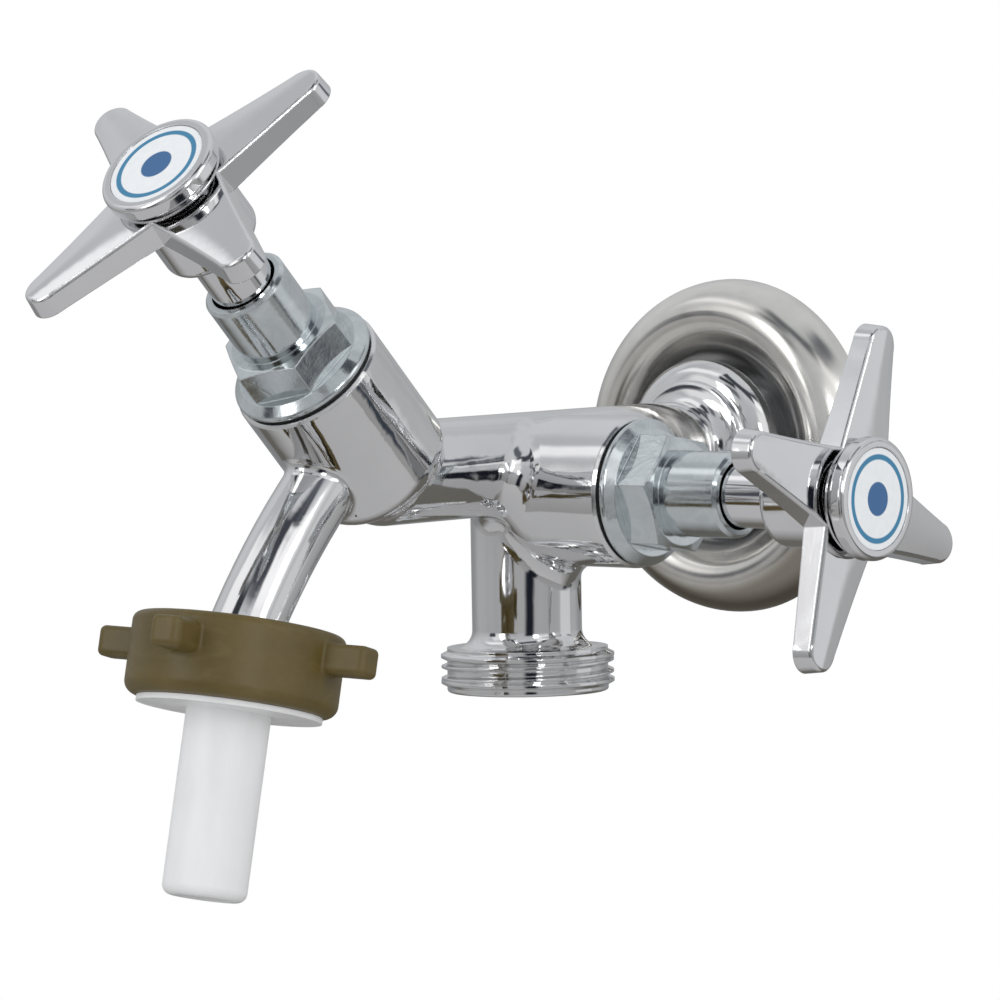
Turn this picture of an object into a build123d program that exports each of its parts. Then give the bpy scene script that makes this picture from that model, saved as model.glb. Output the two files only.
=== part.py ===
from build123d import *
from math import cos, radians, sin, tan
import os

os.makedirs("parts", exist_ok=True)

# Washing machine tap: one casting with an inlet that screws into the wall, a side valve that
# feeds a threaded machine outlet, and a front valve that feeds a spout with a hose tail.
# Millimetres. The origin is on the inlet's axis at the wall face, +Y runs into the wall,
# -Y towards the user, +X towards the side valve and +Z is up.

# Clearances
fit = 0.05
running = 0.1
free = 0.3

# Inlet, radii and distances from the wall
inlet_thread_r = 10.478
inlet_thread_reach = 13.0
inlet_thread_show = 1.1
inlet_shank_r = 10.2
inlet_bore_r = 7.0
inlet_bore_length = 18.0
rim_r = 13.9
rim_back = 7.6
rim_width = 1.8
dome_top_r = 10.8
dome_length = 3.1
dome_arc_r = 4.5
dome_bead_r = 0.8
hollow_arc_r = 4.6
hollow_length = 1.6
groove_r = 6.9
groove_length = 0.7
barrel_r = 7.7
barrel_bore_r = 5.2

# Wall flange, a pressed sheet ring
flange_r = 26.4
flange_sheet = 0.8
flange_crown_r = 20.8
flange_crown = 7.5
flange_dish_r = 14.0
flange_dish = 3.6

# Side valve chamber, across the barrel
side_y = -53.4
side_z = -4.0
side_seam = 22.4
side_ball_start = 8.5
side_blend = 4.0
side_turn = -19.75
side_hex_turn = 20.0

# Front valve chamber, leaning forward and up
front_y = -86.9
front_lean = 44.0
front_seam = 23.4
front_bowl_start = 3.0
front_bowl_depth = 6.0
front_turn = 56.8
front_hex_turn = 15.0

# What both chambers share, depths below the seam with the bonnet
boss_r = 11.43
boss_edge = 0.4
front_blend = 2.5
chamber_r = 9.5
chamber_depth = 15.9
seat_height = 1.5
seat_r = 5.4
seat_bore_r = 4.0
seat_overrun = 1.0

# Machine outlet
outlet_r = 8.38
outlet_bore_r = 6.2
outlet_bore_top = -10.2
outlet_slot_width = 9.0
outlet_slot_height = 3.4
outlet_slot_overrun = 2.0
outlet_collar_top = -28.0
outlet_thread_length = 6.8
outlet_blend = 3.0
outlet_flare = 2.6

# Pipe thread of the outlet, the spout's end and the inlet
pipe_thread_r = 13.22
thread_pitch = 1.814
thread_depth = 0.95
thread_shoulder = 0.55
thread_land = 0.5
thread_crest = 0.35
thread_root = 1.2
thread_sink = 0.1
thread_lead = 0.9
thread_lead_drop = 0.9
thread_round = 0.5

# Spout
spout_r = 5.4
spout_bore_r = 4.0
spout_start_out = 9.1
spout_start_drop = 6.7
spout_start_lean = 49.5
spout_blend = 1.6
spout_flare = 1.5
spout_thread_length = 5.5
spout_sink = 3.0
spout_end_bore_r = 5.6
spout_end_roof = 1.5

# Coupling nut
nut_y = -121.9
nut_z = -31.75
nut_lean = 13.4
nut_r = 15.6
nut_height = 12.0
nut_top_round = 1.3
nut_foot_round = 2.0
nut_lip = 2.5
nut_lip_hole_r = 10.3
nut_turn = -12.6
lug_count = 4
lug_tip_r = 22.2
lug_width = 4.8
lug_height = 4.5
lug_drop = 1.8
lug_round = 1.2
lug_edge = 0.9
lug_foot_round = 0.45

# Hose tail and its washer
tail_flange_r = 12.3
tail_flange_thick = 1.8
tail_collar_r = 13.6
tail_collar_thick = 0.8
tail_r = 6.2
tail_length = 28.0
tail_bore_r = 4.3
tail_end_round = 1.5
tail_washer_thick = 1.75
tail_washer_hole_r = 6.4

# Bonnet, lengths along the valve's axis
seal_thick = 0.5
seal_r = 10.3
bonnet_flange_thick = 2.1
bonnet_flange_r = 11.1
bonnet_flange_edge = 0.9
bonnet_flange_top_r = 9.6
bonnet_flange_round = 0.5
hex_across_flats = 16.4
hex_height = 5.7
hex_crown = 0.7
hex_corner = 1.6
bonnet_neck_r = 6.45
bonnet_neck_length = 10.4
bonnet_neck_edge = 0.5
recess_r = 5.2
recess_depth = 9.7
guide_length = 6.0
bonnet_thread_length = 8.0
spindle_thread_r = 6.2

# Valve inside the bonnet
lift = 5.0
valve_washer_thick = 2.5
valve_washer_r = 5.5
valve_plate_r = 5.8
valve_plate_thick = 1.8
valve_stem_r = 2.2
valve_stem_length = 7.5
valve_stud_r = 1.5
valve_stud_length = 4.4
plate_nut_flats = 4.6
plate_nut_thick = 1.4
spindle_nose_r = 4.2
spindle_thread_length = 4.5
spindle_r = 3.6
spindle_collar_r = 4.9
spindle_collar_length = 3.6
ring_section_r = 0.95
ring_groove_width = 2.1
spline_r = 3.0
spline_count = 16
spline_depth = 0.35
spline_length = 9.0
screw_r = 2.0
screw_length = 8.0
screw_head_r = 3.6
screw_head_thick = 2.0
screw_slot_width = 0.9
screw_slot_depth = 1.0

# Cross handle with its cap
stem_show = 8.4
sleeve_r = 4.85
hub_r = 7.5
hub_round = 1.5
hub_skirt = 9.2
hub_top_r = 8.2
arm_thick = 4.3
arm_count = 4
arm_start = 4.0
arm_reach = 26.2
arm_tip_width = 5.8
arm_middle_width = 9.2
arm_root_width = 14.4
arm_draft = 6.0
arm_root_crown = 0.3
arm_root_span = 18.0
arm_tip_fall = 1.1
arm_tip_crown = 2.0
arm_tip_span = 10.0
arm_edge = 0.6
cap_gap = 1.0
cap_r = 9.1
cap_height = 2.4
cap_round = 0.8
cap_foot_round = 0.4
cap_step_r = 6.4
cap_plug_r = 5.6
cap_plug_length = 1.8
disc_r = 7.5
disc_thick = 0.8
disc_sink = 0.15

# Worked out along each valve's axis, outward from the seam
seat_top = seat_height - chamber_depth
washer_bottom = seat_top + fit
plate_bottom = washer_bottom + valve_washer_thick
plate_top = plate_bottom + valve_plate_thick
stem_top = plate_top + valve_stem_length
bonnet_flange_top = seal_thick + bonnet_flange_thick
hex_top = bonnet_flange_top + hex_height
neck_top = hex_top + bonnet_neck_length
recess_bottom = neck_top - recess_depth
guide_bottom = recess_bottom - guide_length
spindle_thread_top = guide_bottom - lift - free
spindle_thread_bottom = spindle_thread_top - spindle_thread_length
spindle_collar_bottom = recess_bottom + free
spindle_collar_top = spindle_collar_bottom + spindle_collar_length
ring_middle = spindle_collar_bottom + spindle_collar_length / 2
hub_bottom = neck_top + stem_show
arm_back = hub_bottom + hub_skirt
arm_front = arm_back + arm_thick
cap_bottom = arm_front + cap_gap
cap_top = cap_bottom + cap_height
plug_bottom = arm_front - cap_plug_length
screw_seat = plug_bottom - screw_head_thick - free
spindle_top = screw_seat - free
disc_top = cap_top - disc_sink
disc_bottom = disc_top - disc_thick

# Worked out across each valve's axis
thread_bore_r = spindle_thread_r + running
bonnet_thread_r = chamber_r - fit
guide_r = spindle_r + running
ring_centre_r = recess_r - running - ring_section_r
ring_groove_r = ring_centre_r - ring_section_r - fit

# Worked out along the nut's axis, downward from its foot
tail_flange_bottom = -nut_lip - fit
tail_flange_top = tail_flange_bottom - tail_flange_thick
tail_washer_top = tail_flange_top - tail_washer_thick
spout_end = tail_washer_top - fit
spout_collar_top = spout_end - spout_thread_length

# Worked out along the inlet, towards the user from the wall
dome_start = rim_back + rim_width
dome_end = dome_start + dome_length
hollow_end = dome_end + hollow_length
barrel_start = hollow_end + groove_length
flange_bore_r = inlet_thread_r + free


def section(at):
    # Plane through the axis of a plane: x is the radius and y the distance along the axis.
    return Plane(origin=at.origin, x_dir=at.x_dir, z_dir=-at.y_dir)


def axis_of(at):
    return Axis(at.origin, at.z_dir)


def finish(piece, name):
    piece.part.label = name
    export_step(piece.part, f"parts/{name}.step")


def pipe_thread(at, major_r, length):
    # A male thread from the plane outward: a plain shoulder, a helical ridge that starts and
    # ends inside two full rings, and a plain lead of smaller radius.
    root_r = major_r - thread_depth
    lead_r = major_r - thread_lead_drop
    flank = thread_depth / 2
    first_ring = thread_shoulder + flank + thread_land / 2
    last_ring = length - thread_lead - flank - thread_land / 2
    foot = at.offset(first_ring).origin
    with BuildPart() as thread:
        with BuildSketch(section(at)):
            with BuildLine():
                Polyline(
                    (0, 0),
                    (root_r, 0),
                    (root_r, thread_shoulder),
                    (major_r, first_ring - thread_land / 2),
                    (major_r, first_ring + thread_land / 2),
                    (root_r, first_ring + thread_land / 2 + flank),
                    (root_r, last_ring - thread_land / 2 - flank),
                    (major_r, last_ring - thread_land / 2),
                    (major_r, last_ring + thread_land / 2),
                    (lead_r, length - thread_lead),
                    (lead_r, length),
                    (0, length),
                    (0, 0),
                )
            make_face()
        revolve(axis=axis_of(at))
        fillet(thread.edges().sort_by(axis_of(at))[-1], thread_round)
        with BuildLine():
            turn = Helix(
                pitch=thread_pitch,
                height=last_ring - first_ring,
                radius=root_r,
                center=foot,
                direction=at.z_dir,
            )
        outward = (turn @ 0 - foot).normalized()
        with BuildSketch(Plane(origin=turn @ 0, x_dir=outward, z_dir=turn % 0)):
            with BuildLine():
                Polyline(
                    (-thread_sink, -thread_root / 2),
                    (thread_depth - fit, -thread_crest / 2),
                    (thread_depth - fit, thread_crest / 2),
                    (-thread_sink, thread_root / 2),
                    (-thread_sink, -thread_root / 2),
                )
            make_face()
        sweep(path=turn, is_frenet=True)
    return thread.part


inlet_at = Plane(origin=(0, 0, 0), x_dir=(1, 0, 0), z_dir=(0, -1, 0))
chamber_at = Plane(origin=(0, side_y, side_z), x_dir=(0, 0, 1), z_dir=(1, 0, 0))
side_at = chamber_at.offset(side_seam)
front_out = Vector(0, -cos(radians(front_lean)), sin(radians(front_lean)))
front_in_at = Plane(origin=(0, front_y, 0), x_dir=(1, 0, 0), z_dir=front_out)
front_at = front_in_at.offset(front_seam)
outlet_at = Plane(origin=(0, side_y, side_z), x_dir=(1, 0, 0), z_dir=(0, 0, -1))
outlet_collar_at = outlet_at.offset(side_z - outlet_collar_top)
inlet_thread_at = Plane(origin=(0, -inlet_thread_show, 0), x_dir=(-1, 0, 0), z_dir=(0, 1, 0))
nut_down = Vector(0, -sin(radians(nut_lean)), -cos(radians(nut_lean)))
nut_at = Plane(origin=(0, nut_y, nut_z), x_dir=(1, 0, 0), z_dir=nut_down)
spout_top_at = nut_at.offset(spout_collar_top)

outlet_thread = pipe_thread(outlet_collar_at, pipe_thread_r, outlet_thread_length)
spout_thread = pipe_thread(spout_top_at, pipe_thread_r, spout_thread_length)
inlet_length = inlet_thread_show + inlet_thread_reach
inlet_thread = pipe_thread(inlet_thread_at, inlet_thread_r, inlet_length)


def boss(start, end, foot):
    # Outline of a chamber's outside from the end of its curved foot: a plain round boss to its
    # seam, then back along the axis to the foot's lowest point.
    Polyline(
        (boss_r, start),
        (boss_r, end - boss_edge),
        (boss_r - boss_edge, end),
        (0, end),
        (0, foot),
    )


spout_from = front_in_at.from_local_coords(Vector(0, -spout_start_drop, spout_start_out))
spout_lean = radians(spout_start_lean)
spout_dir = Vector(0, -sin(spout_lean), -cos(spout_lean))
spout_to = spout_top_at.offset(spout_sink).origin

with BuildPart() as tap_body:
    with BuildSketch(section(inlet_at)):
        with BuildLine():
            Polyline(
                (0, inlet_thread_show),
                (inlet_shank_r, inlet_thread_show),
                (inlet_shank_r, rim_back),
                (rim_r, rim_back),
                (rim_r, dome_start),
            )
            RadiusArc((rim_r, dome_start), (dome_top_r, dome_end - dome_bead_r), -dome_arc_r)
            RadiusArc(
                (dome_top_r, dome_end - dome_bead_r),
                (dome_top_r - dome_bead_r, dome_end),
                -dome_bead_r,
            )
            RadiusArc((dome_top_r - dome_bead_r, dome_end), (groove_r, hollow_end), hollow_arc_r)
            Polyline(
                (groove_r, hollow_end),
                (groove_r, barrel_start),
                (barrel_r, barrel_start),
                (barrel_r, -front_y),
            )
            RadiusArc((barrel_r, -front_y), (0, barrel_r - front_y), -barrel_r)
            Line((0, barrel_r - front_y), (0, inlet_thread_show))
        make_face()
    revolve(axis=axis_of(inlet_at))
    with BuildSketch(section(outlet_at)):
        with BuildLine():
            RadiusArc((outlet_r, 0), (0, -outlet_r), outlet_r)
            Polyline(
                (outlet_r, 0),
                (outlet_r, side_z - outlet_collar_top + fit),
                (0, side_z - outlet_collar_top + fit),
                (0, -outlet_r),
            )
        make_face()
    revolve(axis=axis_of(outlet_at))
    fillet(tap_body.edges(Select.NEW), outlet_blend)
    with BuildSketch(section(chamber_at)):
        with BuildLine():
            CenterArc((0, side_ball_start), boss_r, start_angle=270, arc_size=90)
            boss(side_ball_start, side_seam, side_ball_start - boss_r)
        make_face()
    revolve(axis=axis_of(chamber_at))
    fillet(tap_body.edges(Select.NEW), side_blend)
    with BuildSketch(section(front_in_at)):
        with BuildLine():
            EllipticalCenterArc(
                (0, front_bowl_start), boss_r, front_bowl_depth, start_angle=270, arc_size=90
            )
            boss(front_bowl_start, front_seam, front_bowl_start - front_bowl_depth)
        make_face()
    revolve(axis=axis_of(front_in_at))
    fillet(tap_body.edges(Select.NEW), front_blend)
    with BuildLine():
        spout_path = TangentArc(spout_from, spout_to, tangent=spout_dir)
    spout_start_at = Plane(origin=spout_path @ 0, x_dir=(1, 0, 0), z_dir=spout_path % 0)
    with BuildSketch(spout_start_at):
        Circle(spout_r)
    sweep(path=spout_path)
    fillet(tap_body.edges(Select.NEW), spout_blend)
    add(spout_thread)
    fillet(tap_body.edges(Select.NEW), spout_flare)
    add(outlet_thread)
    fillet(tap_body.edges(Select.NEW), outlet_flare)
    add(inlet_thread)
    for seam_at, seat_end in ((side_at, side_seam), (front_at, front_seam)):
        with BuildSketch(section(seam_at)):
            with BuildLine():
                Polyline(
                    (0, free),
                    (chamber_r, free),
                    (chamber_r, -chamber_depth),
                    (seat_r, -chamber_depth),
                    (seat_r, seat_top),
                    (seat_bore_r, seat_top),
                    (seat_bore_r, -seat_end - seat_overrun),
                    (0, -seat_end - seat_overrun),
                    (0, free),
                )
            make_face()
        revolve(axis=axis_of(seam_at), mode=Mode.SUBTRACT)
    with BuildSketch(inlet_thread_at.offset(inlet_length)):
        Circle(inlet_bore_r)
    extrude(amount=-inlet_bore_length, mode=Mode.SUBTRACT)
    with BuildSketch(inlet_at):
        Circle(barrel_bore_r)
    extrude(amount=-front_y, mode=Mode.SUBTRACT)
    with BuildSketch(outlet_at.offset(side_z - outlet_bore_top)):
        Circle(outlet_bore_r)
    extrude(
        amount=outlet_bore_top - outlet_collar_top + outlet_thread_length,
        mode=Mode.SUBTRACT,
    )
    with BuildSketch(chamber_at):
        with Locations((outlet_bore_top - side_z - outlet_slot_height / 2, 0)):
            Rectangle(outlet_slot_height, outlet_slot_width)
    extrude(amount=side_seam - chamber_depth + outlet_slot_overrun, mode=Mode.SUBTRACT)
    with BuildSketch(spout_start_at):
        Circle(spout_bore_r)
    sweep(path=spout_path, mode=Mode.SUBTRACT)
    with BuildSketch(nut_at.offset(spout_end)):
        Circle(spout_end_bore_r)
    extrude(amount=spout_end_roof - spout_thread_length, mode=Mode.SUBTRACT)
finish(tap_body, "tap_body")

with BuildPart() as wall_flange:
    with BuildSketch(section(inlet_at)):
        with BuildLine():
            brim_width = flange_r - flange_crown_r
            brim = EllipticalCenterArc(
                (flange_crown_r, 0), brim_width, flange_crown, arc_size=90
            )
            inner_brim = EllipticalCenterArc(
                (flange_crown_r, 0),
                brim_width - flange_sheet,
                flange_crown - flange_sheet,
                arc_size=90,
            )
            flat = ((-1, 0), (-1, 0))
            dip = Spline(brim @ 1, (flange_dish_r, flange_dish), tangents=flat)
            inner_foot = (flange_dish_r, flange_dish - flange_sheet)
            Spline(inner_brim @ 1, inner_foot, tangents=flat)
            Polyline(
                dip @ 1,
                (flange_bore_r, flange_dish),
                (flange_bore_r, flange_dish - flange_sheet),
                inner_foot,
            )
            Line(brim @ 0, inner_brim @ 0)
        make_face()
    revolve(axis=axis_of(inlet_at))
finish(wall_flange, "wall_flange")


def arm_outline(drop, grow):
    # Plan of one arm from the handle's axis: waisted sides and a round tip, grown by the draft.
    half_tip = arm_tip_width / 2 + grow
    half_middle = arm_middle_width / 2 + grow
    half_root = arm_root_width / 2 + grow
    reach = arm_reach + grow
    ends = reach - half_tip
    middle = arm_reach / 2
    with BuildSketch(Plane.XY.offset(-drop)) as outline:
        with BuildLine():
            ThreePointArc((0, half_root), (middle, half_middle), (ends, half_tip))
            ThreePointArc((ends, half_tip), (reach, 0), (ends, -half_tip))
            ThreePointArc((ends, -half_tip), (middle, -half_middle), (0, -half_root))
            Line((0, -half_root), (0, half_root))
        make_face()
    return outline.sketch


def arm_crown(out, crest, crown, span):
    # Section across an arm, open below and crowned above.
    with BuildSketch(Plane.YZ.offset(out)) as across:
        with BuildLine():
            edge = crest - crown
            ThreePointArc((-span / 2, edge), (0, crest), (span / 2, edge))
            foot = -arm_thick - free
            Polyline(
                (span / 2, edge), (span / 2, foot), (-span / 2, foot), (-span / 2, edge)
            )
        make_face()
    return across.sketch


# One arm of the handle with drafted walls and a face that rounds and falls towards the tip,
# its highest face on the XY plane.
arm_outlines = [arm_outline(0, 0), arm_outline(arm_thick, arm_thick * tan(radians(arm_draft)))]
arm_crowns = [
    arm_crown(arm_start, 0, arm_root_crown, arm_root_span),
    arm_crown(arm_reach + arm_thick, -arm_tip_fall, arm_tip_crown, arm_tip_span),
]
with BuildPart() as crown:
    loft(arm_crowns, ruled=True)
with BuildPart() as arm:
    loft(arm_outlines, ruled=True)
    add(crown.part, mode=Mode.INTERSECT)
    fillet(arm.faces().sort_by(Axis.Z)[-1].edges().sort_by(Axis.X)[1:], arm_edge)


def make_valve(name, at, hex_turn, handle_turn):
    # Headwork of one valve, built outward from its seam with the casting.
    half = section(at)
    centre = axis_of(at)

    with BuildPart() as bonnet_washer:
        with BuildSketch(at):
            Circle(seal_r)
            Circle(chamber_r + running, mode=Mode.SUBTRACT)
        extrude(amount=seal_thick)
    finish(bonnet_washer, f"{name}_bonnet_washer")

    with BuildPart() as bonnet:
        with BuildSketch(half):
            with BuildLine():
                Polyline(
                    (thread_bore_r, -bonnet_thread_length),
                    (bonnet_thread_r, -bonnet_thread_length),
                    (bonnet_thread_r, seal_thick),
                    (bonnet_flange_r, seal_thick),
                    (bonnet_flange_r, seal_thick + bonnet_flange_edge),
                    (bonnet_flange_top_r, bonnet_flange_top),
                    (bonnet_neck_r, bonnet_flange_top),
                    (bonnet_neck_r, neck_top),
                    (recess_r, neck_top),
                    (recess_r, recess_bottom),
                    (guide_r, recess_bottom),
                    (guide_r, guide_bottom),
                    (thread_bore_r, guide_bottom),
                    close=True,
                )
            make_face()
        revolve(axis=centre)
        flange_rims = bonnet.edges().filter_by(
            lambda edge: edge.geom_type == GeomType.CIRCLE
            and abs(edge.radius - bonnet_flange_r) < fit
        )
        fillet(flange_rims, bonnet_flange_round)
        with BuildSketch(at.offset(bonnet_flange_top)):
            RegularPolygon(hex_across_flats / 2, 6, major_radius=False, rotation=hex_turn)
            Circle(bonnet_neck_r - running, mode=Mode.SUBTRACT)
        extrude(amount=hex_height)
        with BuildSketch(half):
            with BuildLine():
                Polyline(
                    (hex_across_flats / 2 - hex_crown, hex_top + running),
                    (hex_across_flats / 2 + hex_corner, hex_top + running),
                    (hex_across_flats / 2 + hex_corner, hex_top - hex_crown),
                    close=True,
                )
            make_face()
        revolve(axis=centre, mode=Mode.SUBTRACT)
        neck_rims = bonnet.edges().filter_by(
            lambda edge: edge.geom_type == GeomType.CIRCLE
            and abs(edge.radius - bonnet_neck_r) < fit
        )
        chamfer(neck_rims.sort_by(centre)[-1], bonnet_neck_edge)
    finish(bonnet, f"{name}_bonnet")

    with BuildPart() as seat_washer:
        with BuildSketch(at.offset(washer_bottom)):
            Circle(valve_washer_r)
            Circle(valve_stud_r + fit, mode=Mode.SUBTRACT)
        extrude(amount=valve_washer_thick)
    finish(seat_washer, f"{name}_seat_washer")

    with BuildPart() as valve_plate:
        with BuildSketch(half):
            with BuildLine():
                Polyline(
                    (0, plate_bottom - valve_stud_length),
                    (valve_stud_r, plate_bottom - valve_stud_length),
                    (valve_stud_r, plate_bottom),
                    (valve_plate_r, plate_bottom),
                    (valve_plate_r, plate_top),
                    (valve_stem_r, plate_top),
                    (valve_stem_r, stem_top),
                    (0, stem_top),
                    close=True,
                )
            make_face()
        revolve(axis=centre)
    finish(valve_plate, f"{name}_valve_plate")

    with BuildPart() as plate_nut:
        with BuildSketch(at.offset(washer_bottom)):
            RegularPolygon(plate_nut_flats / 2, 6, major_radius=False)
            Circle(valve_stud_r + fit, mode=Mode.SUBTRACT)
        extrude(amount=-plate_nut_thick)
    finish(plate_nut, f"{name}_plate_nut")

    with BuildPart() as spindle:
        with BuildSketch(half):
            with BuildLine():
                Polyline(
                    (valve_stem_r + running, plate_top + fit),
                    (spindle_nose_r, plate_top + fit),
                    (spindle_nose_r, spindle_thread_bottom),
                    (spindle_thread_r, spindle_thread_bottom),
                    (spindle_thread_r, spindle_thread_top),
                    (spindle_r, spindle_thread_top),
                    (spindle_r, spindle_collar_bottom),
                    (spindle_collar_r, spindle_collar_bottom),
                    (spindle_collar_r, ring_middle - ring_groove_width / 2),
                    (ring_groove_r, ring_middle - ring_groove_width / 2),
                    (ring_groove_r, ring_middle + ring_groove_width / 2),
                    (spindle_collar_r, ring_middle + ring_groove_width / 2),
                    (spindle_collar_r, spindle_collar_top),
                    (spline_r, spindle_collar_top),
                    (spline_r, spindle_top),
                    (screw_r + fit, spindle_top),
                    (screw_r + fit, screw_seat - screw_length - free),
                    (0, screw_seat - screw_length - free),
                    (0, stem_top + free),
                    (valve_stem_r + running, stem_top + free),
                    close=True,
                )
            make_face()
        revolve(axis=centre)
        with BuildSketch(at.offset(spindle_top)):
            with PolarLocations(spline_r, spline_count):
                Circle(spline_depth)
        extrude(amount=-spline_length, mode=Mode.SUBTRACT)
    finish(spindle, f"{name}_spindle")

    with BuildPart() as spindle_ring:
        with BuildSketch(half):
            with Locations((ring_centre_r, ring_middle)):
                Circle(ring_section_r)
        revolve(axis=centre)
    finish(spindle_ring, f"{name}_spindle_ring")

    cross_at = Plane(
        origin=at.offset(arm_front).origin,
        x_dir=at.x_dir.rotate(centre, handle_turn),
        z_dir=at.z_dir,
    )
    with BuildPart() as handle:
        with BuildSketch(half):
            with BuildLine():
                Polyline(
                    (spline_r + fit, spindle_collar_top + fit),
                    (sleeve_r, spindle_collar_top + fit),
                    (sleeve_r, hub_bottom),
                    (hub_r - hub_round, hub_bottom),
                )
                RadiusArc(
                    (hub_r - hub_round, hub_bottom), (hub_r, hub_bottom + hub_round), -hub_round
                )
                Polyline(
                    (hub_r, hub_bottom + hub_round),
                    (hub_r, arm_back),
                    (hub_top_r, arm_back + hub_top_r - hub_r),
                    (hub_top_r, arm_front),
                    (cap_plug_r + fit, arm_front),
                    (cap_plug_r + fit, screw_seat),
                    (spline_r + fit, screw_seat),
                    (spline_r + fit, spindle_collar_top + fit),
                )
            make_face()
        revolve(axis=centre)
        for number in range(arm_count):
            with Locations(cross_at):
                add(arm.part, rotation=(0, 0, number * 360 / arm_count))
        with BuildSketch(at.offset(arm_front + free)):
            Circle(cap_plug_r + fit)
        extrude(amount=screw_seat - arm_front - free, mode=Mode.SUBTRACT)
    finish(handle, f"{name}_handle")

    with BuildPart() as handle_screw:
        with BuildSketch(at.offset(screw_seat)):
            Circle(screw_head_r)
        extrude(amount=screw_head_thick)
        with BuildSketch(at.offset(screw_seat)):
            Circle(screw_r)
        extrude(amount=-screw_length)
        with BuildSketch(at.offset(screw_seat + screw_head_thick)):
            Rectangle(2 * screw_head_r, screw_slot_width)
        extrude(amount=-screw_slot_depth, mode=Mode.SUBTRACT)
    finish(handle_screw, f"{name}_handle_screw")

    with BuildPart() as index_cap:
        with BuildSketch(half):
            with BuildLine():
                Polyline(
                    (0, plug_bottom),
                    (cap_plug_r, plug_bottom),
                    (cap_plug_r, arm_front),
                    (cap_step_r, arm_front),
                    (cap_step_r, cap_bottom),
                    (cap_r - cap_foot_round, cap_bottom),
                )
                RadiusArc(
                    (cap_r - cap_foot_round, cap_bottom),
                    (cap_r, cap_bottom + cap_foot_round),
                    -cap_foot_round,
                )
                Line((cap_r, cap_bottom + cap_foot_round), (cap_r, cap_top - cap_round))
                RadiusArc((cap_r, cap_top - cap_round), (cap_r - cap_round, cap_top), -cap_round)
                Polyline(
                    (cap_r - cap_round, cap_top),
                    (disc_r + fit, cap_top),
                    (disc_r + fit, disc_bottom),
                    (0, disc_bottom),
                    (0, plug_bottom),
                )
            make_face()
        revolve(axis=centre)
    finish(index_cap, f"{name}_index_cap")

    with BuildPart() as index_disc:
        with BuildSketch(at.offset(disc_bottom)):
            Circle(disc_r)
        extrude(amount=disc_thick)
    finish(index_disc, f"{name}_index_disc")


make_valve("side", side_at, side_hex_turn, side_turn)
make_valve("front", front_at, front_hex_turn, front_turn)

# One lug of the nut on the XY plane, its root at the origin.
lug_back = pipe_thread_r + free + running
with BuildPart() as lug:
    with BuildSketch():
        with Locations(((lug_tip_r - lug_back) / 2, 0)):
            RectangleRounded(lug_tip_r - lug_back, lug_width, lug_round)
    extrude(amount=lug_height)
    fillet(lug.faces().sort_by(Axis.Z)[0].edges(), lug_edge)
    fillet(lug.faces().sort_by(Axis.Z)[-1].edges(), lug_edge)

with BuildPart() as coupling_nut:
    with BuildSketch(section(nut_at)):
        with BuildLine():
            Polyline(
                (pipe_thread_r + free, -nut_height),
                (nut_r, -nut_height),
                (nut_r, 0),
                (nut_lip_hole_r, 0),
                (nut_lip_hole_r, -nut_lip),
                (pipe_thread_r + free, -nut_lip),
                close=True,
            )
        make_face()
    revolve(axis=axis_of(nut_at))
    outer_rims = coupling_nut.edges().filter_by(
        lambda edge: edge.geom_type == GeomType.CIRCLE and abs(edge.radius - nut_r) < fit
    )
    fillet(outer_rims.sort_by(axis_of(nut_at))[0], nut_top_round)
    fillet(outer_rims.sort_by(axis_of(nut_at))[-1], nut_foot_round)
    with Locations(nut_at.offset(lug_drop - nut_height)):
        with PolarLocations(lug_back, lug_count, start_angle=nut_turn):
            add(lug.part)
    fillet(coupling_nut.edges(Select.NEW), lug_foot_round)
finish(coupling_nut, "coupling_nut")

with BuildPart() as hose_tail:
    with BuildSketch(section(nut_at)):
        with BuildLine():
            Polyline(
                (tail_bore_r, tail_flange_top),
                (tail_flange_r, tail_flange_top),
                (tail_flange_r, tail_flange_bottom),
                (nut_lip_hole_r - free, tail_flange_bottom),
                (nut_lip_hole_r - free, fit),
                (tail_collar_r, fit),
                (tail_collar_r, fit + tail_collar_thick),
                (tail_r, fit + tail_collar_thick),
                (tail_r, tail_length),
                (tail_bore_r, tail_length),
                close=True,
            )
        make_face()
    revolve(axis=axis_of(nut_at))
    mouth = hose_tail.edges().filter_by(
        lambda edge: edge.geom_type == GeomType.CIRCLE and abs(edge.radius - tail_r) < fit
    )
    fillet(mouth.sort_by(axis_of(nut_at))[-1], tail_end_round)
finish(hose_tail, "hose_tail")

with BuildPart() as tail_washer:
    with BuildSketch(nut_at.offset(tail_washer_top)):
        Circle(tail_flange_r)
        Circle(tail_washer_hole_r, mode=Mode.SUBTRACT)
    extrude(amount=tail_washer_thick)
finish(tail_washer, "tail_washer")
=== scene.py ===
"""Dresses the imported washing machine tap: camera, materials, light and floor."""
import math

import bpy
from mathutils import Matrix, Vector

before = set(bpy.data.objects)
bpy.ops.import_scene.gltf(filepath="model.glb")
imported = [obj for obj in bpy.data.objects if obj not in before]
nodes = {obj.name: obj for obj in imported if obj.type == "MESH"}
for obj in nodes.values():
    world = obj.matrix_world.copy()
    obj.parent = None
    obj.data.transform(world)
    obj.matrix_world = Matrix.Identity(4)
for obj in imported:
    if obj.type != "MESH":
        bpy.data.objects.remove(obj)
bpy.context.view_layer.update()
scene = bpy.context.scene
scene.view_settings.view_transform = "Standard"

# Lengths and places are in metres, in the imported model's frame, and angles in radians

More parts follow.
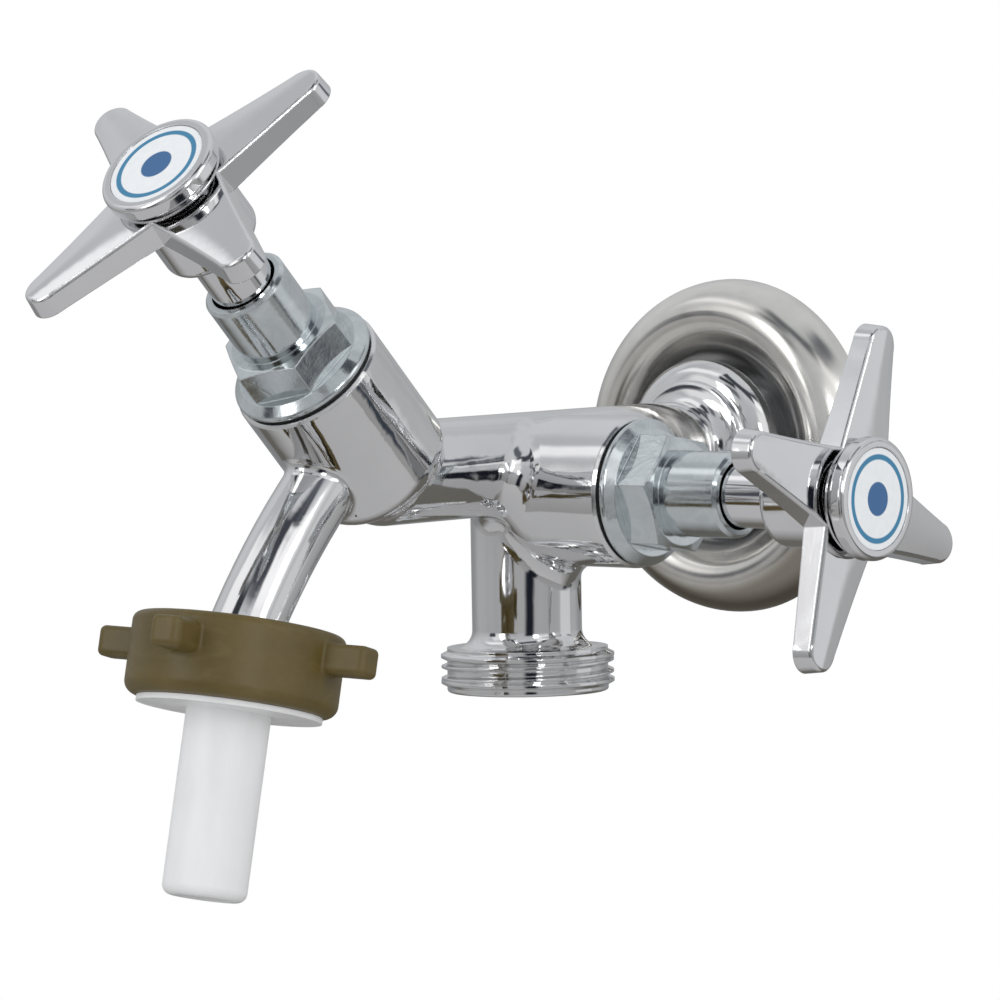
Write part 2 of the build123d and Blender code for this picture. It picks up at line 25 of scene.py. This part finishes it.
# Axes of the two valves and of the nut
FRONT_LEAN = math.radians(44.0)
NUT_LEAN = math.radians(13.4)
SIDE_SEAM = Vector((0.0224, -0.0534, -0.004))
SIDE_OUT = Vector((1, 0, 0))
FRONT_CENTRE = Vector((0, -0.0869, 0))
FRONT_SEAM_OUT = 0.0234  # from the front chamber's centre to its seam with the bonnet
FRONT_OUT = Vector((0, -math.cos(FRONT_LEAN), math.sin(FRONT_LEAN)))
FRONT_SEAM = FRONT_CENTRE + FRONT_SEAM_OUT * FRONT_OUT
NUT_FOOT = Vector((0, -0.1219, -0.03175))
NUT_DOWN = Vector((0, -math.sin(NUT_LEAN), -math.cos(NUT_LEAN)))
INLET_AXIS = Vector((0, 1, 0))
WALL_CENTRE = Vector((0, 0, 0))

# Where a look changes on a piece
TURNED_FROM_Y = -0.026  # the casting's chrome grows calmer from here
TURNED_TO_Y = -0.020  # and is calm from here to the wall
DISH_SHADE_FULL_RADIUS = 0.0150  # the painted shade in the flange's dish is full inside this radius
DISH_SHADE_END_RADIUS = 0.0185  # and fades out by this one, towards the crown
BRIM_SHADE_FROM_RADIUS = 0.0205  # the painted shade low on the brim begins at this radius
BRIM_SHADE_FULL_RADIUS = 0.0235  # and is full here
BRIM_SHADE_FROM_DROP = -0.003  # it begins 3 mm above the inlet's axis
BRIM_SHADE_FULL_DROP = 0.009  # and is full 9 mm below it
TAIL_DARKER_FROM = 0.012  # down the tail from the nut's foot
TAIL_DARKER_TO = 0.028  # the tail's end
RING_INNER_RADIUS = 0.00575
RING_OUTER_RADIUS = 0.00655
DOT_RADIUS = 0.0025
PRINT_FADE = 0.00008  # half of the soft edge of the print

# Camera at the photograph's viewing angle
CAMERA_AZIMUTH = math.radians(39.27)
CAMERA_ELEVATION = math.radians(3.32)
CAMERA_ROLL = math.radians(-0.99)
CAMERA_DISTANCE = 1.0
CAMERA_LENS_MM = 234.89
CAMERA_NEAREST = 0.01
AIM = Vector((0, -0.045, -0.006))
AIM_LEFT = 0.00912  # the picture's middle lies this far left of the aim

# Softboxes aimed at the tap: name, metres right of the camera's line, up and towards
# the camera, then width, height and watts
LIT_POINT = Vector((0, -0.06, 0))
LAMPS = (
    ("key", -0.94, 0.42, 0.69, 0.30, 0.75, 1.5),
    ("front", 0.28, 0.24, 0.95, 0.16, 0.26, 0.9),
    ("fill", 0.83, 0.32, 0.65, 0.22, 0.62, 0.7),
)

FLOOR_HALF_WIDTH = 0.45
FLOOR_HEIGHT = -0.24
FLOOR_LIT_WAY = Vector((0.35, -0.94, 0))  # the painted shade on the cloth lifts this way
FLOOR_DARK_AT = -0.10
FLOOR_LIGHT_AT = 0.06

# What the chrome sees: degrees right of the camera, degrees up, softness in degrees,
# raggedness, tilt and colour. Each one lies over those before it.
PATCHES = (
    ((-56, 46), (49, 64), 2.5, 0.15, 0.25, (0.06, 0.065, 0.08)),  # dark beam overhead
    ((14, 66), (8, 34), 5, 0.15, 0.0, (0.90, 0.90, 0.905)),  # window on the right
    ((21, 62), (51, 63), 3, 0.1, 0.5, (1.15, 1.15, 1.16)),  # skylight above it
    ((-82, -46), (4, 34), 5, 0.15, 0.0, (0.88, 0.88, 0.89)),  # window on the left
    ((-110, -58), (66, 80), 4, 0.1, -0.27, (1.05, 1.05, 1.07)),  # skylight on the left
    ((74, 106), (-12, 22), 3, 0.1, 0.0, (0.69, 0.70, 0.715)),  # pale wall far right
    ((90, 132), (20, 46), 3, 0.1, 0.0, (0.62, 0.635, 0.655)),  # pale wall above it
    ((92, 112), (12, 18), 2, 0.5, 0.0, (0.07, 0.075, 0.10)),  # dark shelf between them
    ((-46, -28), (33, 42), 3, 0.4, 0.0, (0.15, 0.155, 0.17)),  # dim post beside the window
    ((-58, -28), (47, 57), 2.5, 0.2, 0.0, (0.04, 0.045, 0.055)),  # darker end of the beam
    ((34, 84), (46, 66), 5, 0.4, 0.0, (0.13, 0.14, 0.16)),  # dim ceiling on the right
    ((-4, 13), (-24, 12), 3, 0.4, 0.0, (0.012, 0.014, 0.022)),  # doorway behind the camera
    ((-50, -29), (-28, -3), 3, 0.4, 0.0, (0.05, 0.045, 0.035)),  # brown chest low down
    ((83, 118), (-30, -15), 2, 0.25, 0.0, (0.045, 0.055, 0.07)),  # foot of the pale wall
    ((-86, -71), (-1, 14), 2, 0.3, 0.0, (0.06, 0.065, 0.08)),  # gap by the left window
    ((-70, 0), (-90, -72), 6, 0.3, 0.0, (0.06, 0.065, 0.08)),  # dark straight below
    ((112, 160), (-58, -30), 6, 0.4, 0.0, (0.12, 0.13, 0.15)),  # dim corner behind
)


def camera_axes():
    """Directions across the picture, up it and back to the camera, and the camera's place."""
    back = Vector((
        math.sin(CAMERA_AZIMUTH) * math.cos(CAMERA_ELEVATION),
        -math.cos(CAMERA_AZIMUTH) * math.cos(CAMERA_ELEVATION),
        math.sin(CAMERA_ELEVATION),
    ))
    level = Vector((math.cos(CAMERA_AZIMUTH), math.sin(CAMERA_AZIMUTH), 0))
    upright = back.cross(level)
    across = level * math.cos(CAMERA_ROLL) + upright * math.sin(CAMERA_ROLL)
    above = upright * math.cos(CAMERA_ROLL) - level * math.sin(CAMERA_ROLL)
    eye = AIM - AIM_LEFT * level + CAMERA_DISTANCE * back
    return across, above, back, eye


across, above, back, eye = camera_axes()


def place_camera():
    lens = bpy.data.cameras.new("camera")
    lens.lens = CAMERA_LENS_MM
    lens.clip_start = CAMERA_NEAREST
    camera = bpy.data.objects.new("camera", lens)
    scene.collection.objects.link(camera)
    camera.matrix_world = Matrix((
        (across.x, above.x, back.x, eye.x),
        (across.y, above.y, back.y, eye.y),
        (across.z, above.z, back.z, eye.z),
        (0, 0, 0, 1),
    ))
    scene.camera = camera


class Graph:
    """Builds one node tree; a call adds one or more nodes and mostly returns an output."""

    def __init__(self, tree):
        tree.nodes.clear()
        self.tree = tree
        coords = tree.nodes.new("ShaderNodeTexCoord")
        self.point = coords.outputs["Object"]
        self.direction = coords.outputs["Generated"]

    def node(self, kind, inputs=(), **settings):
        """A node; an input is a value or another node's output, and None keeps its own."""
        made = self.tree.nodes.new(kind)
        for name, value in settings.items():
            setattr(made, name, value)
        for key, value in dict(inputs).items():
            if value is None:
                continue
            if isinstance(value, bpy.types.NodeSocket):
                self.tree.links.new(value, made.inputs[key])
            else:
                made.inputs[key].default_value = value
        return made

    def maths(self, operation, a, b=None, c=None):
        made = self.node("ShaderNodeMath", {0: a, 1: b, 2: c}, operation=operation)
        return made.outputs[0]

    def vector(self, operation, a, b=None, out=0):
        """Vector maths; a result that is a number is output 1."""
        made = self.node("ShaderNodeVectorMath", {0: a, 1: b}, operation=operation)
        return made.outputs[out]

    def along(self, point, axis):
        """How far a point lies along an axis through the origin."""
        return self.vector("DOT_PRODUCT", point, tuple(axis), out=1)

    def axis_distance(self, origin, axis):
        """How far the point is from an axis, and how far along it."""
        local = self.vector("SUBTRACT", self.point, tuple(origin))
        along = self.along(local, axis)
        radial = self.vector("CROSS_PRODUCT", local, tuple(axis))
        return self.vector("LENGTH", radial, out=1), along

    def stretch(self, factors):
        """The point for a noise with its own scale along x, y and z."""
        return self.vector("MULTIPLY", self.point, factors)

    def noise(self, scale, detail=3.0, roughness=0.5, point=None, distortion=0.0):
        """Noise whose largest spots are about 1 / scale apart."""
        made = self.node("ShaderNodeTexNoise", {
            "Vector": point or self.point, "Scale": scale, "Detail": detail,
            "Roughness": roughness, "Distortion": distortion,
        })
        return made.outputs[0]

    def span(self, value, low, high, to_low=0.0, to_high=1.0, smooth=False):
        """Maps low..high to to_low..to_high and holds the ends."""
        made = self.node("ShaderNodeMapRange", {
            0: value, 1: low, 2: high, 3: to_low, 4: to_high,
        }, interpolation_type="SMOOTHSTEP" if smooth else "LINEAR")
        return made.outputs[0]

    def mix(self, factor, a, b):
        """Colour between a and b, which are red, green and blue tuples or outputs."""
        a, b = ((*tone, 1) if isinstance(tone, tuple) else tone for tone in (a, b))
        made = self.node("ShaderNodeMix", {0: factor, 6: a, 7: b}, data_type="RGBA")
        return made.outputs[2]

    def bump(self, height, strength, distance, normal=None):
        """Normal of a surface raised by height times distance, in metres."""
        made = self.node("ShaderNodeBump", {
            "Strength": strength, "Distance": distance, "Height": height, "Normal": normal,
        })
        return made.outputs[0]

    def soft_edges(self, radius):
        """Normal that rounds the edges by a radius in metres."""
        return self.node("ShaderNodeBevel", {"Radius": radius}, samples=4).outputs[0]

    def surface(self, **inputs):
        """Ends the material in one Principled shader with these inputs."""
        names = {
            "color": "Base Color", "metallic": "Metallic", "roughness": "Roughness",
            "normal": "Normal", "subsurface": "Subsurface Weight",
            "radius": "Subsurface Radius", "scatter": "Subsurface Scale",
            "coat": "Coat Weight", "coat_roughness": "Coat Roughness",
        }
        shader = self.node(
            "ShaderNodeBsdfPrincipled", {names[key]: value for key, value in inputs.items()}
        )
        self.node("ShaderNodeOutputMaterial", {"Surface": shader.outputs[0]})

    def plain_to_camera(self, kind, otherwise):
        """White where the camera sees it directly, and otherwise the given shader."""
        path = self.node("ShaderNodeLightPath")
        white = self.node(kind, {"Color": (1, 1, 1, 1), "Strength": 1.0})
        return self.node("ShaderNodeMixShader", {
            0: path.outputs["Is Camera Ray"], 1: otherwise, 2: white.outputs[0],
        }).outputs[0]


def material(name):
    made = bpy.data.materials.new(name)
    made.use_nodes = True
    return made, Graph(made.node_tree)


def chrome(name, tone, edge, ripple):
    """Polished plate: cloudy tone, faint ripple of the casting, fine wiping marks."""
    made, g = material(name)
    cloud = g.noise(45.0, detail=4.0, roughness=0.55)
    wipe = g.noise(
        1.0, detail=5.0, roughness=0.6, point=g.stretch((900.0, 900.0, 120.0)), distortion=0.6
    )
    dark = tuple(0.93 * v for v in tone)
    color = g.mix(g.span(cloud, 0.35, 0.65), dark, tone)
    smear = g.maths("MULTIPLY", g.span(cloud, 0.45, 0.75, smooth=True), wipe)
    rough = g.span(smear, 0.0, 0.7, 0.045, 0.11)
    turned = g.span(g.along(g.point, INLET_AXIS), TURNED_FROM_Y, TURNED_TO_Y, 1.0, 0.15)
    calm = g.span(g.noise(28.0, detail=2.0), 0.4, 0.65, 0.35, 1.0, smooth=True)
    calm = g.maths("MULTIPLY", calm, turned)
    swell = g.noise(75.0, detail=2.0, roughness=0.4, distortion=0.7)
    swell = g.maths("MULTIPLY", swell, calm)
    dimple = g.noise(240.0, detail=2.0, distortion=0.8)
    dimple = g.maths("MULTIPLY", dimple, calm)
    waves = g.bump(swell, strength=0.5, distance=ripple, normal=g.soft_edges(edge))
    waves = g.bump(dimple, strength=0.5, distance=0.11 * ripple, normal=waves)
    marks = g.bump(wipe, strength=0.04, distance=0.00004, normal=waves)
    g.surface(color=color, metallic=1.0, roughness=rough, normal=marks)
    return made


def satin_plate(name):
    """Duller plate of the headwork: mottled tone and a fine grain."""
    made, g = material(name)
    mottle = g.noise(230.0, detail=5.0, roughness=0.62, distortion=1.2)
    grain = g.noise(1500.0, roughness=0.6)
    color = g.mix(g.span(mottle, 0.32, 0.68), (0.585, 0.625, 0.64), (0.70, 0.745, 0.76))
    rough = g.span(mottle, 0.3, 0.7, 0.08, 0.17)
    wavy = g.bump(mottle, strength=0.3, distance=0.00011, normal=g.soft_edges(0.0003))
    fine = g.bump(grain, strength=0.12, distance=0.00003, normal=wavy)
    g.surface(color=color, metallic=1.0, roughness=rough, normal=fine)
    return made


def spun_steel(name):
    """Pressed sheet with polishing rings; painted shade darkens the dish and the low side of the
    brim.
    """
    made, g = material(name)
    off, along = g.axis_distance(WALL_CENTRE, INLET_AXIS)
    spun = g.node("ShaderNodeCombineXYZ", {
        0: g.maths("MULTIPLY", off, 2600.0), 1: g.maths("MULTIPLY", along, 900.0),
    })
    rings = g.noise(1.0, detail=4.0, roughness=0.7, point=spun.outputs[0])
    cloud = g.noise(70.0, detail=4.0, roughness=0.6)
    color = g.mix(g.span(cloud, 0.3, 0.7), (0.71, 0.695, 0.66), (0.86, 0.845, 0.805))
    # Painted shade: the dish is darkened to grey inside the crown
    dish = g.span(off, DISH_SHADE_END_RADIUS, DISH_SHADE_FULL_RADIUS, smooth=True)
    color = g.mix(dish, color, (0.40, 0.40, 0.40))
    # Painted shade: the brim's lower side is darkened to a warm grey, standing in for the dark
    # reflected from below
    brim = g.span(off, BRIM_SHADE_FROM_RADIUS, BRIM_SHADE_FULL_RADIUS, smooth=True)
    low = g.span(g.along(g.point, (0, 0, -1)), BRIM_SHADE_FROM_DROP, BRIM_SHADE_FULL_DROP)
    color = g.mix(g.maths("MULTIPLY", brim, low), color, (0.33, 0.30, 0.255))
    rough = g.maths(
        "ADD", g.span(rings, 0.3, 0.7, 0.15, 0.23), g.span(cloud, 0.3, 0.7, 0.0, 0.05)
    )
    fine = g.bump(rings, strength=0.10, distance=0.00003, normal=g.soft_edges(0.0003))
    g.surface(color=color, metallic=1.0, roughness=rough, normal=fine)
    return made


def turned_brass(name):
    """Bare brass with blotches of tarnish and a fine roughness."""
    made, g = material(name)
    grain = g.noise(2500.0, roughness=0.6)
    tarnish = g.noise(160.0, detail=5.0, roughness=0.6)
    color = g.mix(g.span(tarnish, 0.3, 0.7), (0.46, 0.31, 0.12), (0.74, 0.56, 0.27))
    rough = g.span(grain, 0.2, 0.8, 0.22, 0.38)
    fine = g.bump(grain, strength=0.15, distance=0.00004, normal=g.soft_edges(0.0002))
    g.surface(color=color, metallic=1.0, roughness=rough, normal=fine)
    return made


def rubber(name):
    """Black rubber with a little grey dust."""
    made, g = material(name)
    dust = g.noise(700.0, detail=5.0, roughness=0.65)
    color = g.mix(g.span(dust, 0.45, 0.8), (0.012, 0.012, 0.013), (0.045, 0.044, 0.043))
    rough = g.span(dust, 0.3, 0.7, 0.45, 0.65)
    fine = g.bump(dust, strength=0.2, distance=0.00005)
    g.surface(color=color, roughness=rough, normal=fine)
    return made


def nut_plastic(name):
    """Moulded plastic with a faint sparkle and lighter streaks along its flow."""
    made, g = material(name)
    cloud = g.noise(120.0, detail=4.0, roughness=0.6)
    grain = g.noise(2200.0, detail=2.0)
    flow = g.noise(1.0, point=g.stretch((160.0, 160.0, 420.0)), distortion=0.8)
    color = g.mix(g.span(cloud, 0.3, 0.7), (0.094, 0.066, 0.013), (0.128, 0.091, 0.021))
    color = g.mix(g.span(flow, 0.55, 0.8, 0.0, 0.5), color, (0.17, 0.126, 0.042))
    rough = g.span(cloud, 0.3, 0.7, 0.36, 0.46)
    swirls = g.bump(flow, strength=0.12, distance=0.00012, normal=g.soft_edges(0.0005))
    fine = g.bump(grain, strength=0.10, distance=0.00004, normal=swirls)
    g.surface(color=color, roughness=rough, normal=fine)
    return made


def tail_plastic(name):
    """Milky plastic: light passes a little, and it is darker towards the tail's end."""
    made, g = material(name)
    down = g.axis_distance(NUT_FOOT, NUT_DOWN)[1]
    streaks = g.noise(1.0, point=g.stretch((260.0, 260.0, 60.0)))
    grain = g.noise(1600.0, detail=2.0)
    color = g.mix(g.span(streaks, 0.3, 0.7), (0.82, 0.82, 0.815), (0.88, 0.88, 0.875))
    darker = g.span(down, TAIL_DARKER_FROM, TAIL_DARKER_TO, 0.0, 0.3, smooth=True)
    color = g.mix(darker, color, (0.79, 0.79, 0.785))
    rough = g.span(streaks, 0.3, 0.7, 0.36, 0.46)
    ribs = g.bump(streaks, strength=0.08, distance=0.0001)
    fine = g.bump(grain, strength=0.06, distance=0.00003, normal=ribs)
    g.surface(
        color=color, roughness=rough, normal=fine,
        subsurface=0.35, radius=(1.0, 1.0, 1.0), scatter=0.003,
    )
    return made


def disc_print(name, origin, axis):
    """Pale disc under a clear glaze, with the plain ring and dot of a cold tap."""
    made, g = material(name)
    off = g.axis_distance(origin, axis)[0]
    speck = g.noise(900.0)

    def within(radius):
        return g.span(off, radius - PRINT_FADE, radius + PRINT_FADE, 1.0, 0.0)

    outside = g.span(off, RING_INNER_RADIUS - PRINT_FADE, RING_INNER_RADIUS + PRINT_FADE)
    ring = g.maths("MULTIPLY", outside, within(RING_OUTER_RADIUS))
    pale = g.mix(g.span(speck, 0.3, 0.7), (0.86, 0.885, 0.90), (0.91, 0.93, 0.94))
    color = g.mix(ring, pale, (0.01, 0.20, 0.38))
    color = g.mix(within(DOT_RADIUS), color, (0.010, 0.11, 0.30))
    rough = g.span(speck, 0.3, 0.7, 0.28, 0.34)
    fine = g.bump(speck, strength=0.03, distance=0.00003, normal=g.soft_edges(0.0002))
    g.surface(color=color, roughness=rough, normal=fine, coat=0.6, coat_roughness=0.06)
    return made


def dress():
    """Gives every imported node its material."""
    body_chrome = chrome("body_chrome", (0.79, 0.79, 0.795), edge=0.0003, ripple=0.0005)
    handle_chrome = chrome("handle_chrome", (0.82, 0.82, 0.83), edge=0.00025, ripple=0.00014)
    plate = satin_plate("satin_plate")
    brass = turned_brass("turned_brass")
    black = rubber("black_rubber")
    looks = {
        "tap_body": body_chrome,
        "wall_flange": spun_steel("spun_steel"),
        "coupling_nut": nut_plastic("nut_plastic"),
        "hose_tail": tail_plastic("tail_plastic"),
        "tail_washer": black,
        "side_index_disc": disc_print("side_disc_print", SIDE_SEAM, SIDE_OUT),
        "front_index_disc": disc_print("front_disc_print", FRONT_SEAM, FRONT_OUT),
    }
    for valve in ("side", "front"):
        looks.update({
            f"{valve}_bonnet": plate,
            f"{valve}_bonnet_washer": black,
            f"{valve}_seat_washer": black,
            f"{valve}_spindle_ring": black,
            f"{valve}_valve_plate": brass,
            f"{valve}_plate_nut": brass,
            f"{valve}_spindle": brass,
            f"{valve}_handle_screw": brass,
            f"{valve}_handle": handle_chrome,
            f"{valve}_index_cap": handle_chrome,
        })
    for name, look in looks.items():
        for slot in nodes[name].material_slots:
            slot.material = look


def studio():
    """Pale light tent: grey cloth, bright panels, and the dark openings that chrome picks up."""
    world = bpy.data.worlds.new("studio")
    world.use_nodes = True
    scene.world = world
    g = Graph(world.node_tree)
    way = g.vector("NORMALIZE", g.direction)
    side, high, near = (g.along(way, axis) for axis in (across, above, back))
    turn = g.maths("ARCTAN2", side, near)
    rise = g.maths("ARCSINE", high)
    wander = g.maths("MULTIPLY_ADD", g.noise(3.5, point=way), 0.5, -0.25)

    def patch(turns, rises, soft, ragged, tilt):
        """1 inside a patch of the tent, 0 outside, with a soft and ragged edge."""
        factor = None
        tilted = g.maths("MULTIPLY_ADD", turn, tilt, rise)
        for value, (low, high_end) in ((turn, turns), (tilted, rises)):
            middle = math.radians(low + high_end) / 2
            half = math.radians(high_end - low) / 2
            fade = math.radians(soft)
            far = g.maths("ABSOLUTE", g.maths("SUBTRACT", value, middle))
            far = g.maths("MULTIPLY_ADD", wander, ragged, far)
            edge = g.span(far, half - fade, half + fade, 1.0, 0.0, smooth=True)
            factor = edge if factor is None else g.maths("MULTIPLY", factor, edge)
        return factor

    blotch = g.noise(1.6, point=way)
    upper = g.span(high, -0.6, 0.7, smooth=True)
    light = g.mix(upper, (0.33, 0.325, 0.32), (0.66, 0.675, 0.695))
    cloud = g.span(blotch, 0.42, 0.62, 0.0, 0.4, smooth=True)
    light = g.mix(cloud, light, (0.36, 0.375, 0.395))
    behind = g.span(near, -0.45, -0.9, 0.0, 0.75, smooth=True)
    lower = g.span(high, 0.35, -0.1)
    light = g.mix(g.maths("MULTIPLY", behind, lower), light, (0.20, 0.21, 0.22))
    for turns, rises, soft, ragged, tilt, tone in PATCHES:
        light = g.mix(patch(turns, rises, soft, ragged, tilt), light, tone)
    path = g.node("ShaderNodeLightPath")
    tent = g.node("ShaderNodeBackground", {"Color": light, "Strength": 1.0})
    dome = g.node("ShaderNodeBackground", {"Color": (0.86, 0.87, 0.89, 1), "Strength": 0.95})
    lit = g.node("ShaderNodeMixShader", {
        0: path.outputs["Is Glossy Ray"], 1: dome.outputs[0], 2: tent.outputs[0],
    })
    sky = g.plain_to_camera("ShaderNodeBackground", lit.outputs[0])
    g.node("ShaderNodeOutputWorld", {"Surface": sky})


def floor():
    """Plain pale floor below the tap: white to the camera, and in reflections a table with
    painted shade, darker towards the wall.
    """
    mesh = bpy.data.meshes.new("floor")
    half, low = FLOOR_HALF_WIDTH, FLOOR_HEIGHT
    mesh.from_pydata(
        [(-half, -half, low), (half, -half, low), (half, half, low), (-half, half, low)],
        [], [(0, 1, 2, 3)],
    )
    obj = bpy.data.objects.new("floor", mesh)
    scene.collection.objects.link(obj)
    made, g = material("pale_floor")
    # Painted shade: the cloth darkens towards the wall
    shade = g.span(g.along(g.point, FLOOR_LIT_WAY), FLOOR_DARK_AT, FLOOR_LIGHT_AT)
    tone = g.mix(shade, (0.17, 0.16, 0.14), (0.55, 0.545, 0.54))
    cloth = g.node("ShaderNodeBsdfDiffuse", {"Color": tone})
    top = g.plain_to_camera("ShaderNodeEmission", cloth.outputs[0])
    g.node("ShaderNodeOutputMaterial", {"Surface": top})
    mesh.materials.append(made)


def lamp(name, right, up, near, width, height, power):
    """Softbox aimed at the tap."""
    data = bpy.data.lights.new(name, "AREA")
    data.shape = "RECTANGLE"
    data.size = width
    data.size_y = height
    data.energy = power
    obj = bpy.data.objects.new(name, data)
    scene.collection.objects.link(obj)
    obj.location = LIT_POINT + near * back + right * across + up * above
    obj.rotation_euler = (LIT_POINT - obj.location).to_track_quat("-Z", "Y").to_euler()


place_camera()
dress()
studio()
floor()
for softbox in LAMPS:
    lamp(*softbox)
